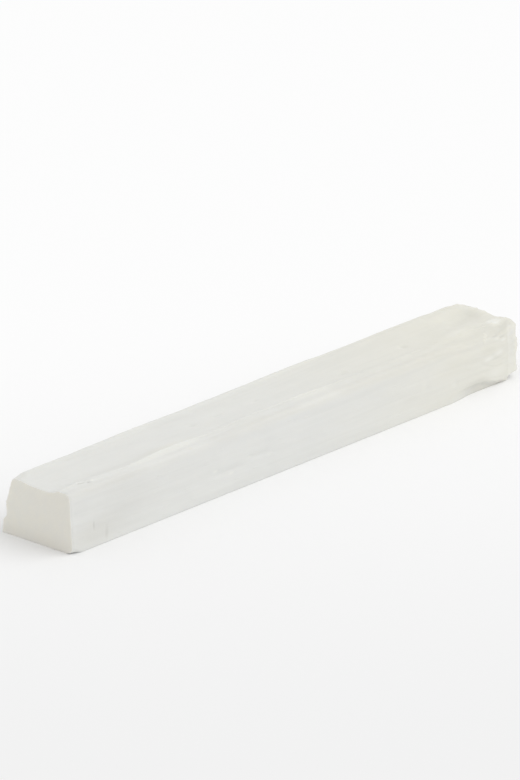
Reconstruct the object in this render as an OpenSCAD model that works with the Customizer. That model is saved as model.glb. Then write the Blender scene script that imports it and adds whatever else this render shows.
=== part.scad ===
// Selenite stick: one natural bar of satin spar, a fibrous white gypsum, in millimetres.
// The fibres run along X. The bar is cleaved along them on its four long sides, sawn
// across at -X and snapped off at +X. It lies on its flat underside at z = 0.

/* [Bar] */
// Length from the sawn end to the tip of the broken end
bar_length = 204; // [150:1:280]
// Width at the foot
foot_width = 28.5; // [28:0.5:34]
// Width across the top at the sawn end
sawn_top_width = 25; // [23:0.1:26]
// Width across the top at the broken end
broken_top_width = 27.6; // [26:0.1:28]
// Height of the front top edge over the underside
edge_height = 19.2; // [17:0.1:24]
// Rounding of the front top edge
edge_round = 1.5; // [0.8:0.1:2]
// Bevel along both feet
foot_bevel = 0.2; // [0.1:0.05:1]

/* [Top side] */
// Width of the shelf between the front top edge and the ridge
shelf_width = 4.6; // [3.5:0.1:5.5]
// Height of the ridge over the shelf where it is whole
ridge_rise = 0.6; // [0:0.05:0.9]
// Depth of the groove behind the ridge, below the shelf
groove_depth = 1.2; // [0.4:0.05:1.5]
// Distance from the sawn end at which the ridge has died out
ridge_run = 147; // [100:1:149]
// Drop of the front top edge where it turns into a soft bevel by the broken end
bevel_drop = 1.8; // [0:0.1:2.5]
// Width of the raised strip along the back top edge
strip_width = 1.8; // [1.2:0.1:3]

/* [Back side] */
// How far the upper ledge steps out
upper_step = 0.4; // [0.2:0.1:1]
// Height of the upper ledge
upper_ledge_z = 10; // [9:0.1:12]
// How far the lower ledge steps out
lower_step = 1.4; // [0.5:0.1:1.6]
// Height of the lower ledge
lower_ledge_z = 5.1; // [3.5:0.1:6]

/* [Underside] */
// Depth of the furrow along the underside
furrow_depth = 0.35; // [0:0.05:0.6]
// Distance of the furrow behind the middle of the bar
furrow_y = 5.5; // [2:0.5:7]

/* [Sawn end] */
// How far the saw cut runs out of square, from the back edge to the front edge
cut_skew = 0.9; // [0:0.1:2]
// How far the saw cut twists between opposite corners
cut_twist = 0.5; // [0:0.1:1]
// Rounding of the front foot at the sawn end
worn_foot = 2; // [0.6:0.1:2.4]
// Drop of the worn back top corner at the sawn end
worn_corner = 1; // [0:0.1:1.5]
// How much higher the front top edge stands at the sawn end
end_swell = 0.5; // [0:0.1:0.8]

/* [Broken end] */
// Length of the bar over which the break has torn its sides
torn_length = 30; // [20:1:45]
// Depth of the steps between the snapped fibre bundles
splinter_depth = 2.4; // [0.5:0.1:2.6]
// Width of a snapped fibre bundle
bundle_width = 3.6; // [2.5:0.1:6]
// How far the break cuts the back corner away
corner_cut = 6.6; // [0:0.1:8]
// How far the break runs back under the foot
foot_cut = 4.5; // [0:0.1:5]
// Height up to which the break runs back under the foot
foot_cut_z = 1.8; // [1:0.1:2.4]
// How far the tip of the front side is bevelled in
tip_bevel = 1.1; // [0:0.1:1.6]
// Depth of the scoop torn out of the top
scoop_depth = 1.6; // [0:0.1:2]
// Height of the chip out of the front foot
chip_height = 3.6; // [1:0.1:4]
// Depth of that chip
chip_depth = 1.3; // [0.4:0.1:2]

/* [Surface] */
// Depth of the low waves along the fibres
wave_depth = 0.3; // [0:0.05:0.5]
// Share of the waves that the smooth front side keeps
front_calm = 0.5; // [0:0.1:1]
// Length of one wave
wave_length = 26; // [15:1:40]
// Width of one wave
wave_width = 3.1; // [2:0.1:6]
// Depth of the bruises and nicks
nick_depth = 0.6; // [0:0.05:0.8]
// Seed that moves the waves and splinters
seed = 7; // [1:1:99]
// Rings of mesh along the bar
rings = 86; // [50:1:92]

/* [Hidden] */
half_length = bar_length / 2;
front_y = -foot_width / 2;
back_y = foot_width / 2;
// How strongly the rings crowd towards both ends, from 0 to 1
ring_crowding = 0.6;
// Sizes of the inner rings of the broken face, as shares of its outline
broken_rings = [0.94, 0.86, 0.77, 0.67, 0.56, 0.44, 0.31, 0.16];
// Middle of the section, where the end faces close
core = [0, edge_height / 2];
// Height up to which the foot keeps clear of the waves, so that the underside stays flat
calm_foot = 0.7;
// Height of the chip along the front foot, as [distance from the tip, share of chip_height]
chip_profile = [[1, 0], [6, 0.3], [11, 0.45], [14, 0.7], [18, 1], [25, 1], [32, 0.8], [36, 0]];
// Setback of the break's upper ledge, as [place across the bar, share]
ledge_profile = [[-11, 0.45], [-5, 0.8], [3, 0]];
// Marks in the front side: [distance from the sawn end, height, half length, half height, share of nick_depth]
front_marks = [
    [67, 7.3, 9, 1.6, 0.5],
    [82, 8.6, 8, 1.8, 0.5],
];
// Marks in the top side: [distance from the sawn end, distance from the front side, half length, half width, share]
top_marks = [
    [12, 5.6, 3.4, 1, 0.7],
    [68, 15.2, 3, 1.1, 0.6],
    [79, 15.4, 3, 1.1, 0.6],
    [131, 10.6, 3, 1.2, 0.7],
    [161, 12, 2.5, 2, 0.7],
    [199, 3.2, 4.5, 3.2, 0.9],
];

// ---- Numbers ----

function mix(a, b, t) = a + (b - a) * t;
function clamp01(t) = min(1, max(0, t));
function ease(t) = let (c = clamp01(t)) c * c * (3 - 2 * c);

// A repeatable number from 0 to 1 for each whole pair i, j
function hash(i, j) = let (h = sin(i * 127.1 + j * 311.7 + seed * 74.7) * 43758.5453) h - floor(h);

// Smooth noise from -1 to 1
function noise(u, v) =
    let (i = floor(u), j = floor(v), a = ease(u - i), b = ease(v - j))
    2 * mix(mix(hash(i, j), hash(i + 1, j), a), mix(hash(i, j + 1), hash(i + 1, j + 1), a), b) - 1;

// A round-topped bump, 1 at its middle and 0 past its two radii
function bump(u, v, radius_u, radius_v) =
    ease(1 - sqrt(pow(u / radius_u, 2) + pow(v / radius_v, 2)));

// One number from 0 to 1 for all of each irregular cell
function cell(u, v) =
    let (
        near = [
            for (i = [floor(u) - 1 : floor(u) + 1], j = [floor(v) - 1 : floor(v) + 1])
                [norm([u - i - hash(i, j), v - j - hash(i + 31, j + 17)]), hash(i + 61, j + 43)]
        ],
        least = min([for (c = near) c[0]])
    )
    [for (c = near) if (c[0] == least) c[1]][0];

// ---- Section ----

// Distances of a station from the two ends
function from_sawn(x) = x + half_length;
function from_tip(x) = half_length - x;

// How far the torn zone of the broken end has set in, from 0 to 1
function torn(x) = ease(1 - from_tip(x) / torn_length);

// How whole the ridge is, from 0 to 1: it stands highest on two stretches
function ridge_whole(x) =
    max(ease(1 - abs(from_sawn(x) - 45) / 30), ease(1 - abs(from_sawn(x) - 108) / 24));

// Low wander of a line along the bar, from -1 to 1
function wander(x, line) = noise(x / 19 + line * 7.3, line * 3.7);

// Place of the ridge across the bar: it sets in from the front edge on two stretches
function ridge_place(x) =
    let (t = from_sawn(x) / bar_length)
    front_y + shelf_width + 0.7 * wander(x, 3) + 1.4 * ease((t - 0.3) / 0.15) + 0.5 * ease(1 - 7 * t);

// How far the wear of the corners by the sawn end has set in, from 0 to 1
function worn(x) = ease(1 - from_sawn(x) / 5);

// How high the chip out of the front foot reaches, from 0 to 1
function chipped(x) = lookup(from_tip(x), chip_profile);

// The lines that run the length of the bar, from the front foot up, over the top, down the
// back and along the underside: [y, z, mesh pieces up to the next line]
function section(x) =
    let (
        away = from_sawn(x),
        tip = from_tip(x),
        t = away / bar_length,
        // Front foot: worn at one end, chipped near the other
        chip = chipped(x),
        foot = foot_bevel + (worn_foot - foot_bevel) * worn(x) + (chip_height - foot_bevel) * chip,
        chip_in = chip_depth * ease((34 - tip) / 14) * ease(tip / 3),
        undercut = mix(foot * (0.9 + 0.4 * worn(x)), chip_in, min(1, 4 * chip)),
        front = front_y + tip_bevel * clamp01(1.1 - tip / 5),
        // Front top edge: swollen at the sawn end, dropped to a soft bevel by the broken end
        drop = bevel_drop * ease((42 - tip) / 25) * ease((tip - 3) / 8),
        swell = end_swell * ease(1 - away / 30),
        lip = edge_height + swell,
        // Ridge and the groove behind it
        ridge = ease((ridge_run - away) / 40),
        ridge_y = ridge_place(x),
        crest = ridge_rise * ridge * (0.55 + 0.45 * ridge_whole(x)),
        crest_z = edge_height + 0.1 + crest + 0.15 * wander(x, 5),
        groove_z = edge_height - groove_depth * mix(0.15, 1, ridge),
        steep = ease(away / 30),
        // Back top edge
        top_back = front_y + mix(sawn_top_width, broken_top_width, t) + 0.25 * wander(x, 9),
        back_z = edge_height - mix(0, 0.15, t) + 0.2 * wander(x, 10),
        strip = strip_width + 0.5 * wander(x, 8),
        corner_wear = worn_corner * worn(x),
        // Ledges of the back, which are lower towards the broken end
        upper = upper_step * mix(1, 0.4, t),
        lower = lower_step * mix(1, 0.4, t),
        lean = back_y - top_back - upper - lower,
        upper_z = upper_ledge_z + 0.8 * wander(x, 11),
        lower_z = lower_ledge_z + 0.7 * wander(x, 12),
        furrow = furrow_depth * ease(t / 0.1) * ease((1 - t) / 0.2)
    )
    [
        [front + undercut, 0, 2],
        [front + mix(0.3, 0.75, chip) * undercut, mix(0.3, 0.7, chip) * foot, 1],
        [front, foot, 12],
        [front + 0.15, lip - edge_round - drop, 1],
        [front + 0.35 * edge_round, lip - 0.35 * edge_round - 0.97 * drop, 1],
        [front + edge_round, lip - 0.9 * drop, 3],
        [ridge_y - 0.5, edge_height + 0.1 + 0.4 * swell + 0.1 * wander(x, 4), 1],
        [ridge_y + 0.2, crest_z, 1],
        [ridge_y + mix(2, 1.3, steep), mix(edge_height, groove_z, 0.6), 1],
        [ridge_y + mix(6, 3.5, steep), groove_z, 3],
        [mix(ridge_y, top_back, 0.55), groove_z + 0.1 * t, 3],
        [top_back - strip - 1.5, mix(groove_z, back_z, 0.25), 3],
        [top_back - strip, back_z - 0.7 * corner_wear, 1],
        [top_back, back_z - mix(0.3, 0.1, t) - corner_wear, 3],
        [top_back + 1.15 * lean, upper_z + 0.4, 1],
        [top_back + 1.15 * lean + upper, upper_z - 0.3, 3],
        [back_y - lower, lower_z + 0.5, 1],
        [back_y, lower_z - 0.5, 3],
        [back_y, foot_bevel, 1],
        [back_y - foot_bevel, 0, 3],
        [furrow_y + 2 + wander(x, 13), 0, 1],
        [furrow_y + 1 + wander(x, 13), furrow, 1],
        [furrow_y - 1 + wander(x, 14), furrow, 1],
        [furrow_y - 2 + wander(x, 14), 0, 5],
    ];

// All points of one section, [y, z], with each line's pieces cut evenly
function outline(x) =
    let (lines = section(x), count = len(lines))
    [
        for (k = [0 : count - 1], step = [0 : lines[k][2] - 1])
            let (t = step / lines[k][2], a = lines[k], b = lines[(k + 1) % count])
            [mix(a[0], b[0], t), mix(a[1], b[1], t)]
    ];

// ---- Relief ----

// Depth of a list of marks at a point of their side
function marked(marks, along, across) =
    nick_depth * max([for (m = marks) m[4] * bump(along - m[0], across - m[1], m[2], m[3])]);

// Depth torn out of the top by the break: a scoop behind a low swelling
function torn_top(x, y) =
    scoop_depth * bump(from_tip(x) - 12, y - 2, 13, 7.5) * ease((from_tip(x) - 1.5) / 5)
    - 0.5 * bump(from_tip(x) - 23, y + 7, 16, 5);

// Depth cut into the surface at a point p of the section, the j-th of its outline
function relief(x, j, p) =
    let (
        rough = 1 + 1.6 * torn(x),
        wave = noise(x / wave_length, 1.5 * j / wave_width),
        flake = noise(x / 7 + 40, 0.9 * j),
        calm = mix(front_calm, 1, ease((p[0] - front_y) / 2)),
        on_top = p[1] > 0.8 * edge_height,
        on_front = p[0] < front_y + 1
    )
    0.5 * wave_depth * rough * calm * (wave + 0.5 * flake)
    + (on_top ? marked(top_marks, from_sawn(x), p[0] - front_y) + torn_top(x, p[0]) : 0)
    + (on_front ? marked(front_marks, from_sawn(x), p[1]) : 0);

// ---- Ends ----

// Where the slightly twisted saw cut lies at a point of the section
function sawn_x(y, z) =
    -half_length
    + cut_skew * (back_y - y) / foot_width
    + cut_twist * (1 + (y / back_y) * (2 * z / edge_height - 1));

// Where the break lies at a point of the section, over the foot
function broken_x(y, z) =
    half_length
    - corner_cut * pow(clamp01((y - 7.5) / 6.5), 1.5)
    - (1.3 * ease((z - 13) / 0.8) + 0.9 * ease((z - 17.5) / 2)) * lookup(y, ledge_profile);

// How far the break runs back under the foot at a height
function foot_back(z) = foot_cut * ease(foot_cut_z + 0.5 - z);

// Depth of the fibre bundles that broke off short, least along the front side
function splinter(y, z) =
    let (share = cell(y / bundle_width + 11, z / (0.8 * bundle_width) + 5))
    splinter_depth * share * mix(0.35, 1, ease((y + 10) / 8)) * ease((z - 0.5) / 2);

// The point of the skin at station x, for the j-th point of its outline
function skin_point(x, points, j) =
    let (
        p = points[j],
        count = len(points),
        along = points[(j + 1) % count] - points[(j + count - 1) % count],
        outward = [-along[1], along[0]] / norm(along),
        q = p - outward * relief(x, j, p) * ease((p[1] - calm_foot) / 2)
    )
    [
        x + ease(1 - from_sawn(x) / 20) * (sawn_x(q[0], q[1]) + half_length)
          + torn(x) * (broken_x(q[0], q[1]) - half_length)
          - ease(1 - from_tip(x) / 10) * foot_back(q[1])
          - 0.3 * ease(1 - from_tip(x) / 4) * splinter(q[0], q[1]),
        q[0],
        q[1]
    ];

// A point inside the broken face, where size is its ring's share of the outline
function broken_point(p, size) =
    let (y = mix(core[0], p[1], size), z = mix(core[1], p[2], size))
    [broken_x(y, z) - foot_back(z) - mix(1, 0.3, pow(size, 6)) * splinter(y, z), y, z];

// ---- Stick ----

// The whole bar: rings of skin from the sawn end to the tip, then rings into the broken face
module selenite_stick() {
    stations = [
        for (i = [0 : rings - 1])
            let (u = i / (rings - 1))
            -half_length + bar_length * (u - ring_crowding * sin(360 * u) / (2 * PI))
    ];
    around = len(outline(0));
    skin = [
        for (x = stations)
            let (points = outline(x))
            [for (j = [0 : around - 1]) skin_point(x, points, j)]
    ];
    broken_face = [for (size = broken_rings) [for (p = skin[rings - 1]) broken_point(p, size)]];
    shells = concat(skin, broken_face);
    rows = len(shells);
    points = concat(
        [for (ring = shells, p = ring) p],
        [[sawn_x(core[0], core[1]), core[0], core[1]]],
        [broken_point([0, core[0], core[1]], 1)]
    );
    sawn_middle = rows * around;
    broken_middle = sawn_middle + 1;
    last = (rows - 1) * around;
    faces = concat(
        [
            for (i = [0 : rows - 2], j = [0 : around - 1])
                let (a = i * around + j, b = i * around + (j + 1) % around)
                each [[a, b, a + around], [b, b + around, a + around]]
        ],
        [for (j = [0 : around - 1]) [sawn_middle, (j + 1) % around, j]],
        [for (j = [0 : around - 1]) [broken_middle, last + j, last + (j + 1) % around]]
    );
    // The origin is under the middle of the whole bar
    middle = [for (axis = [0, 1]) let (c = [for (p = points) p[axis]]) (min(c) + max(c)) / 2];
    color("#e4e4e0") translate([-middle[0], -middle[1], 0]) polyhedron(points = points, faces = faces);
}

selenite_stick();
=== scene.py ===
"""Studio model of a selenite stick: a bar of fibrous gypsum, cleaved, sawn and snapped.

The bar is rebuilt here at a fine resolution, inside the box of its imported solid, and dressed
with three finishes: silky cleaved sides, a chalky sawn end and a splintered broken end.
"""
import logging
import math
from dataclasses import dataclass, replace
from enum import Enum
from functools import cached_property
from typing import Any, Optional, Union

import bpy
import numpy as np
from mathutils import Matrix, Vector


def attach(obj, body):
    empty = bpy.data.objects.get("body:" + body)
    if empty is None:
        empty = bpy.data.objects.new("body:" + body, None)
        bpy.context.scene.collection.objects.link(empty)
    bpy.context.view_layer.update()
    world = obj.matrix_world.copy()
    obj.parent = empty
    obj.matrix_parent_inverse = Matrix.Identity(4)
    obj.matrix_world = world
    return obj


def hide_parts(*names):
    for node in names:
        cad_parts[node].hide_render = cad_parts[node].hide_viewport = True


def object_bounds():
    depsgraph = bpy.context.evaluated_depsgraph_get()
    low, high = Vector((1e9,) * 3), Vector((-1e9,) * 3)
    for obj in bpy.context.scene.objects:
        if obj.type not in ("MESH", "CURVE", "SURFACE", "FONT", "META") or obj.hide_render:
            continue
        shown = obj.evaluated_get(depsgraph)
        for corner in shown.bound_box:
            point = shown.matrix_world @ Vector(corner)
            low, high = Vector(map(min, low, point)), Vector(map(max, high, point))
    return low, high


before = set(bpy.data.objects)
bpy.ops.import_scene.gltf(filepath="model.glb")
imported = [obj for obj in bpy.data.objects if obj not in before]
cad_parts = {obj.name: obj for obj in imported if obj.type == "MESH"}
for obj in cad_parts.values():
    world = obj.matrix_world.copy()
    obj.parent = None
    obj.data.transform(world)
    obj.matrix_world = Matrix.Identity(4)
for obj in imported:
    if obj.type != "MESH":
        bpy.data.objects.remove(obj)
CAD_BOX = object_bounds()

LOG = logging.getLogger("selenite")
MM = 0.001
WHITE = (1.0, 1.0, 1.0)

Array = np.ndarray
Triple = tuple[float, float, float]
Colour = Triple
Range = tuple[float, float]
Pairs = tuple[Range, ...]
Line = tuple[Any, Any, int]


# ---------------------------------------------------------------- numbers


def mix(a: Any, b: Any, t: Any) -> Any:
    """Return the value t of the way from a to b."""
    return a + (b - a) * t


def ease(t: Any) -> Array:
    """Return a smooth step from 0 to 1 as t goes from 0 to 1."""
    c = np.clip(t, 0.0, 1.0)
    return c * c * (3.0 - 2.0 * c)


def bump(u: Array, v: Array, radius_u: float, radius_v: float) -> Array:
    """Return a round-topped bump, 1 at its middle and 0 past its two radii."""
    return ease(1.0 - np.hypot(u / radius_u, v / radius_v))


def band(u: Array, half_width: float) -> Array:
    """Return a round-topped band, 1 at its middle and 0 past its half width."""
    return ease(1.0 - np.abs(u) / half_width)


def plateau(u: Array, reach: float) -> Array:
    """Return a flat-topped band, 1 for 0.6 of its reach to each side and 0 past 1.6 of it."""
    return ease(1.6 - np.abs(u) / reach)


@dataclass(frozen=True)
class Lattice:
    """Repeatable noise on a lattice of hashed numbers.

    Attributes:
        seed: Moves the whole lattice.
    """

    seed: float = 7.0

    def hash(self, i: Array, j: Array) -> Array:
        """Return a repeatable number from 0 to 1 for each whole pair.

        Args:
            i: Whole numbers along the first axis.
            j: Whole numbers along the second axis.

        Returns:
            The hashed numbers, in the broadcast shape of i and j.
        """
        turned = np.radians(i * 127.1 + j * 311.7 + self.seed * 74.7)
        value = np.sin(turned) * 43758.5453
        return value - np.floor(value)

    def noise(self, u: Array, v: Array) -> Array:
        """Return smooth noise from -1 to 1.

        Args:
            u: Places along the first axis, one lattice cell per unit.
            v: Places along the second axis.

        Returns:
            The noise, in the broadcast shape of u and v.
        """
        u, v = np.broadcast_arrays(np.asarray(u, float), np.asarray(v, float))
        i, j = np.floor(u), np.floor(v)
        a, b = ease(u - i), ease(v - j)
        low = mix(self.hash(i, j), self.hash(i + 1, j), a)
        high = mix(self.hash(i, j + 1), self.hash(i + 1, j + 1), a)
        return 2.0 * mix(low, high, b) - 1.0

    def cell(self, u: Array, v: Array) -> tuple[Array, Array]:
        """Return one number per irregular cell, and how near its edge each point lies.

        Args:
            u: Places along the first axis, about one cell per unit.
            v: Places along the second axis.

        Returns:
            The cell's number from 0 to 1, and the gap between its nearest two seeds.
        """
        best = np.full(u.shape, 9.0)
        second = np.full(u.shape, 9.0)
        value = np.zeros(u.shape)
        for di in (-1, 0, 1):
            for dj in (-1, 0, 1):
                i, j = np.floor(u) + di, np.floor(v) + dj
                away = np.hypot(u - i - self.hash(i, j), v - j - self.hash(i + 31, j + 17))
                nearer = away < best
                second = np.where(nearer, best, np.minimum(second, away))
                value = np.where(nearer, self.hash(i + 61, j + 43), value)
                best = np.where(nearer, away, best)
        return value, second - best


# ---------------------------------------------------------------- shape of the bar


@dataclass(frozen=True)
class Mark:
    """A bruised patch, nick, flake, stain or patch of painted shade in one long side, in
    millimetres.

    Attributes:
        along: Distance of its middle from the sawn end.
        across: Height on the front side, or distance from the front side on the top.
        half_length: Reach along the bar.
        half_width: Reach across the side.
        share: Depth as a share of the full nick depth, negative where it stands up.
        tone: From -1, dark with dirt or painted shade, to 1, crushed white.
        stain: From 0, clean, to 1, yellow with iron.
    """

    along: float
    across: float
    half_length: float
    half_width: float
    share: float = 0.0
    tone: float = 0.0
    stain: float = 0.0

    def reach(self, along: Array, across: Array) -> Array:
        """Return the mark's strength at each place, 1 at its middle and 0 past its reach."""
        return bump(along - self.along, across - self.across, self.half_length, self.half_width)


Marks = tuple[Mark, ...]


@dataclass(frozen=True)
class BarShape:
    """The bar's form, in millimetres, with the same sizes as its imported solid.

    X runs along the fibres from the sawn end to the broken end, -Y is the front side and
    the underside lies at z = 0.
    """

    # The bar
    bar_length: float = 204.0
    foot_width: float = 28.5
    sawn_top_width: float = 25.0
    broken_top_width: float = 27.6
    edge_height: float = 19.2
    edge_round: float = 1.5
    foot_bevel: float = 0.2
    # The top, with each stretch as its middle and reach, by distance from the sawn end
    shelf_width: float = 4.6
    ridge_rise: float = 0.6
    ridge_run: float = 147.0
    ridge_stretches: Pairs = ((45, 30), (108, 24))
    groove_depth: float = 1.2
    strip_width: float = 1.8
    bevel_drop: float = 1.8
    bevel_start: float = 42.0
    bevel_run: float = 25.0
    # The back side
    upper_step: float = 0.4
    upper_ledge_z: float = 10.0
    lower_step: float = 1.4
    lower_ledge_z: float = 5.1
    # The underside
    furrow_depth: float = 0.35
    furrow_y: float = 5.5
    calm_foot: float = 0.7
    # The sawn end
    cut_skew: float = 0.9
    cut_twist: float = 0.5
    worn_foot: float = 2.0
    worn_corner: float = 1.0
    worn_run: float = 5.0
    end_swell: float = 0.5
    # The broken end, by distance from its tip
    torn_length: float = 30.0
    splinter_depth: float = 2.4
    bundle_width: float = 3.6
    corner_cut: float = 6.6
    foot_cut: float = 4.5
    foot_cut_z: float = 1.8
    tip_bevel: float = 1.1
    scoop_depth: float = 1.6
    chip_height: float = 3.6
    chip_depth: float = 1.3
    chip_start: float = 34.0
    chip_run: float = 14.0
    chip_profile: Pairs = (
        (1, 0), (6, 0.3), (11, 0.45), (14, 0.7), (18, 1), (25, 1), (32, 0.8), (36, 0),
    )
    ledge_profile: Pairs = ((-11, 0.45), (-5, 0.8), (3, 0))
    # Waves along the fibres, and marks
    wave_depth: float = 0.3
    wave_length: float = 26.0
    wave_width: float = 3.1
    front_calm: float = 0.5
    nick_depth: float = 0.6
    front_marks: Marks = (
        Mark(67.0, 7.3, 9.0, 1.6, 0.5, 0.15),
        Mark(82.0, 8.6, 8.0, 1.8, 0.5, 0.15),
    )
    top_marks: Marks = (
        Mark(12.0, 5.6, 3.4, 1.0, 0.7),
        Mark(68.0, 15.2, 3.0, 1.1, 0.6, -0.3),
        Mark(79.0, 15.4, 3.0, 1.1, 0.6, -0.3),
        Mark(131.0, 10.6, 3.0, 1.2, 0.7, -0.3),
        Mark(161.0, 12.0, 2.5, 2.0, 0.7, -0.4),
        Mark(199.0, 3.2, 4.5, 3.2, 0.9, -0.2),
    )
    lattice: Lattice = Lattice()

    @property
    def half_length(self) -> float:
        """Half of the bar's length."""
        return self.bar_length / 2

    @property
    def front_y(self) -> float:
        """Place of the front side."""
        return -self.foot_width / 2

    @property
    def back_y(self) -> float:
        """Place of the back side's foot."""
        return self.foot_width / 2

    @property
    def core(self) -> tuple[float, float]:
        """Middle of the section, where the end faces close."""
        return 0.0, self.edge_height / 2

    def from_sawn(self, x: Array) -> Array:
        """Return the distance of a station from the sawn end."""
        return x + self.half_length

    def from_tip(self, x: Array) -> Array:
        """Return the distance of a station from the tip of the broken end."""
        return self.half_length - x

    def torn(self, x: Array) -> Array:
        """Return how far the torn zone of the broken end has set in, from 0 to 1."""
        return ease(1.0 - self.from_tip(x) / self.torn_length)

    def worn(self, x: Array) -> Array:
        """Return how far the wear of the sawn end's corners has set in, from 0 to 1."""
        return ease(1.0 - self.from_sawn(x) / self.worn_run)

    def bevelled(self, x: Array) -> Array:
        """Return how far the soft bevel of the front top edge has set in, from 0 to 1."""
        return ease((self.bevel_start - self.from_tip(x)) / self.bevel_run)

    def chipped(self, x: Array) -> Array:
        """Return how high the chip out of the front foot reaches, from 0 to 1."""
        places, shares = zip(*self.chip_profile)
        return np.interp(self.from_tip(x), places, shares)

    def chip_open(self, x: Array) -> Array:
        """Return how deep the chip out of the front foot goes in, from 0 to 1."""
        return ease((self.chip_start - self.from_tip(x)) / self.chip_run)

    def wander(self, x: Array, line: float) -> Array:
        """Return the low wander of one line along the bar, from -1 to 1."""
        return self.lattice.noise(x / 19 + line * 7.3, line * 3.7)

    def ridge_whole(self, x: Array) -> Array:
        """Return how whole the ridge is: it stands highest on two stretches."""
        away = self.from_sawn(x)
        return np.maximum(*(band(away - at, reach) for at, reach in self.ridge_stretches))

    def ridge_place(self, x: Array) -> Array:
        """Return where the ridge's crest lies across the bar.

        Args:
            x: Stations along the bar.

        Returns:
            The crest's y at each station.
        """
        t = self.from_sawn(x) / self.bar_length
        set_in = 1.4 * ease((t - 0.3) / 0.15) + 0.5 * ease(1 - 7 * t)
        return self.front_y + self.shelf_width + 0.7 * self.wander(x, 3) + set_in

    def swell(self, x: Array) -> Array:
        """Return how much higher the front top edge stands, by the sawn end."""
        return self.end_swell * ease(1 - self.from_sawn(x) / 30)

    def top_back(self, x: Array) -> Array:
        """Return where the back top edge lies across the bar.

        Args:
            x: Stations along the bar.

        Returns:
            The edge's y at each station.
        """
        width = mix(
            self.sawn_top_width, self.broken_top_width, self.from_sawn(x) / self.bar_length
        )
        return self.front_y + width + 0.25 * self.wander(x, 9)

    def section(self, x: Array) -> list[Line]:
        """Return the lines that run the length of the bar.

        Args:
            x: Stations along the bar.

        Returns:
            One (y, z, pieces) for each line, from the front foot up, over the top, down the
            back and along the underside; pieces is how many the stretch to the next line has.
        """
        return self.front_lines(x) + self.top_lines(x) + self.back_lines(x) + self.under_lines(x)

    def front_lines(self, x: Array) -> list[Line]:
        """Return the lines of the front side, from its foot to its rounded top edge.

        Args:
            x: Stations along the bar.

        Returns:
            The lines, as section gives them.
        """
        tip = self.from_tip(x)
        chip, worn = self.chipped(x), self.worn(x)
        foot = (
            self.foot_bevel
            + (self.worn_foot - self.foot_bevel) * worn
            + (self.chip_height - self.foot_bevel) * chip
        )
        chip_in = self.chip_depth * self.chip_open(x) * ease(tip / 3)
        undercut = mix(foot * (0.9 + 0.4 * worn), chip_in, np.minimum(1, 4 * chip))
        front = self.front_y + self.tip_bevel * np.clip(1.1 - tip / 5, 0, 1)
        drop = self.bevel_drop * self.bevelled(x) * ease((tip - 3) / 8)
        lip, rounding = self.edge_height + self.swell(x), self.edge_round
        return [
            (front + undercut, 0.0, 2),
            (front + mix(0.3, 0.75, chip) * undercut, mix(0.3, 0.7, chip) * foot, 1),
            (front, foot, 12),
            (front + 0.15, lip - rounding - drop, 1),
            (front + 0.35 * rounding, lip - 0.35 * rounding - 0.97 * drop, 1),
            (front + rounding, lip - 0.9 * drop, 3),
        ]

    def top_lines(self, x: Array) -> list[Line]:
        """Return the lines of the top: ridge, groove, and raised strip by the back edge.

        Args:
            x: Stations along the bar.

        Returns:
            The lines, as section gives them.
        """
        t = self.from_sawn(x) / self.bar_length
        steep = ease(self.from_sawn(x) / 30)
        ridge = ease((self.ridge_run - self.from_sawn(x)) / 40)
        ridge_y = self.ridge_place(x)
        rise = self.ridge_rise * ridge * (0.55 + 0.45 * self.ridge_whole(x))
        shelf_z = self.edge_height + 0.1
        groove_z = self.edge_height - self.groove_depth * mix(0.15, 1.0, ridge)
        top_back = self.top_back(x)
        strip_y = top_back - self.strip_width - 0.5 * self.wander(x, 8)
        strip_z = self.edge_height - 0.15 * t + 0.2 * self.wander(x, 10)
        wear = self.worn_corner * self.worn(x)
        return [
            (ridge_y - 0.5, shelf_z + 0.4 * self.swell(x) + 0.1 * self.wander(x, 4), 1),
            (ridge_y + 0.2, shelf_z + rise + 0.15 * self.wander(x, 5), 1),
            (ridge_y + mix(2.0, 1.3, steep), mix(self.edge_height, groove_z, 0.6), 1),
            (ridge_y + mix(6.0, 3.5, steep), groove_z, 3),
            (mix(ridge_y, top_back, 0.55), groove_z + 0.1 * t, 3),
            (strip_y - 1.5, mix(groove_z, strip_z, 0.25), 3),
            (strip_y, strip_z - 0.7 * wear, 1),
            (top_back, strip_z - mix(0.3, 0.1, t) - wear, 3),
        ]

    def back_lines(self, x: Array) -> list[Line]:
        """Return the lines of the back side's two ledges and foot, from the top down.

        Args:
            x: Stations along the bar.

        Returns:
            The lines, as section gives them.
        """
        t = self.from_sawn(x) / self.bar_length
        top_back = self.top_back(x)
        upper = self.upper_step * mix(1.0, 0.4, t)
        lower = self.lower_step * mix(1.0, 0.4, t)
        lean = self.back_y - top_back - upper - lower
        upper_z = self.upper_ledge_z + 0.8 * self.wander(x, 11)
        lower_z = self.lower_ledge_z + 0.7 * self.wander(x, 12)
        return [
            (top_back + 1.15 * lean, upper_z + 0.4, 1),
            (top_back + 1.15 * lean + upper, upper_z - 0.3, 3),
            (self.back_y - lower, lower_z + 0.5, 1),
            (self.back_y, lower_z - 0.5, 3),
            (self.back_y, self.foot_bevel, 1),
        ]

    def under_lines(self, x: Array) -> list[Line]:
        """Return the lines of the flat underside and its furrow, from the back to the front.

        Args:
            x: Stations along the bar.

        Returns:
            The lines, as section gives them.
        """
        t = self.from_sawn(x) / self.bar_length
        furrow = self.furrow_depth * ease(t / 0.1) * ease((1 - t) / 0.2)
        near, far = self.wander(x, 13), self.wander(x, 14)
        return [
            (self.back_y - self.foot_bevel, 0.0, 3),
            (self.furrow_y + 2 + near, 0.0, 1),
            (self.furrow_y + 1 + near, furrow, 1),
            (self.furrow_y - 1 + far, furrow, 1),
            (self.furrow_y - 2 + far, 0.0, 5),
        ]

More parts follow.
